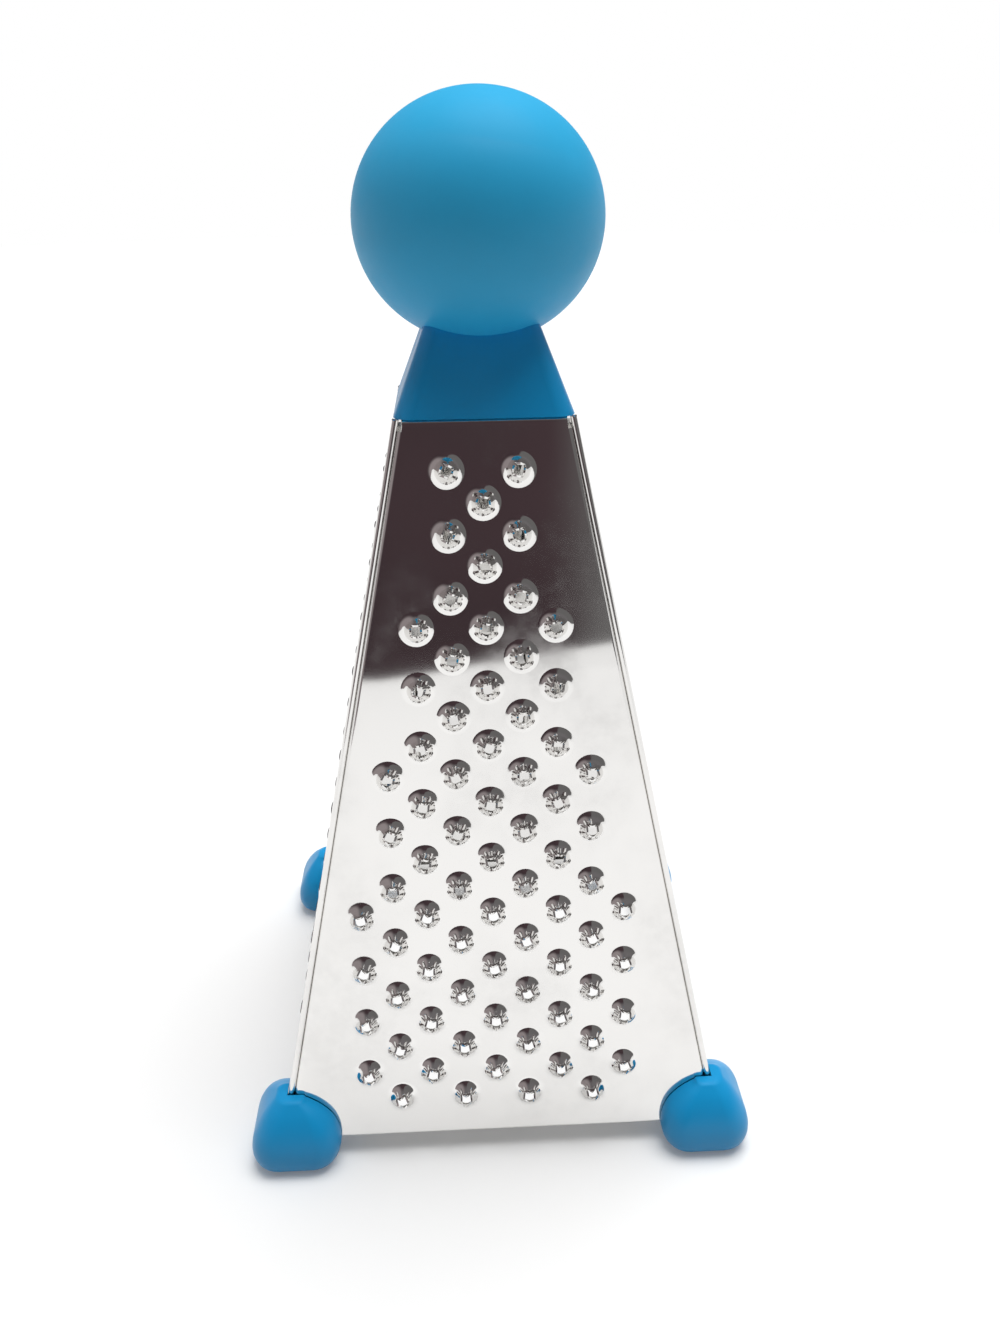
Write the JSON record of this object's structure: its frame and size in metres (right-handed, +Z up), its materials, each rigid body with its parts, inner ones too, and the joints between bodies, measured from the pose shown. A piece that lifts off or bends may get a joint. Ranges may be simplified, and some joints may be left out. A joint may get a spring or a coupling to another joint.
{
  "type": "box grater",
  "caption": "Small four-sided tapered box grater of punched sheet steel on corner feet, with a square collar and a ball knob on top.",
  "frame": {"origin": "centre of the base, on the table under the four feet", "axes": "+Z up through the knob; the burst-tooth face looks along -Y and the slicing face along +X"},
  "size_m": [0.0666, 0.0666, 0.129],
  "materials": {
    "steel": "mirror-polished stainless sheet",
    "plated_steel": "plain plated fastener",
    "blue_plastic": "satin moulded plastic",
    "blue_knob": "matte moulded plastic"
  },
  "bodies": {
    "root": {"front_panel": "steel", "rear_panel": "steel", "left_panel": "steel", "right_panel": "steel", "knob_ball": "blue_knob", "neck_collar": "blue_plastic", "clamp_plate": "plated_steel", "washer": "plated_steel", "knob_screw": "plated_steel", "front_left_foot": "blue_plastic", "front_right_foot": "blue_plastic", "rear_left_foot": "blue_plastic", "rear_right_foot": "blue_plastic"}
  },
  "joints": []
}
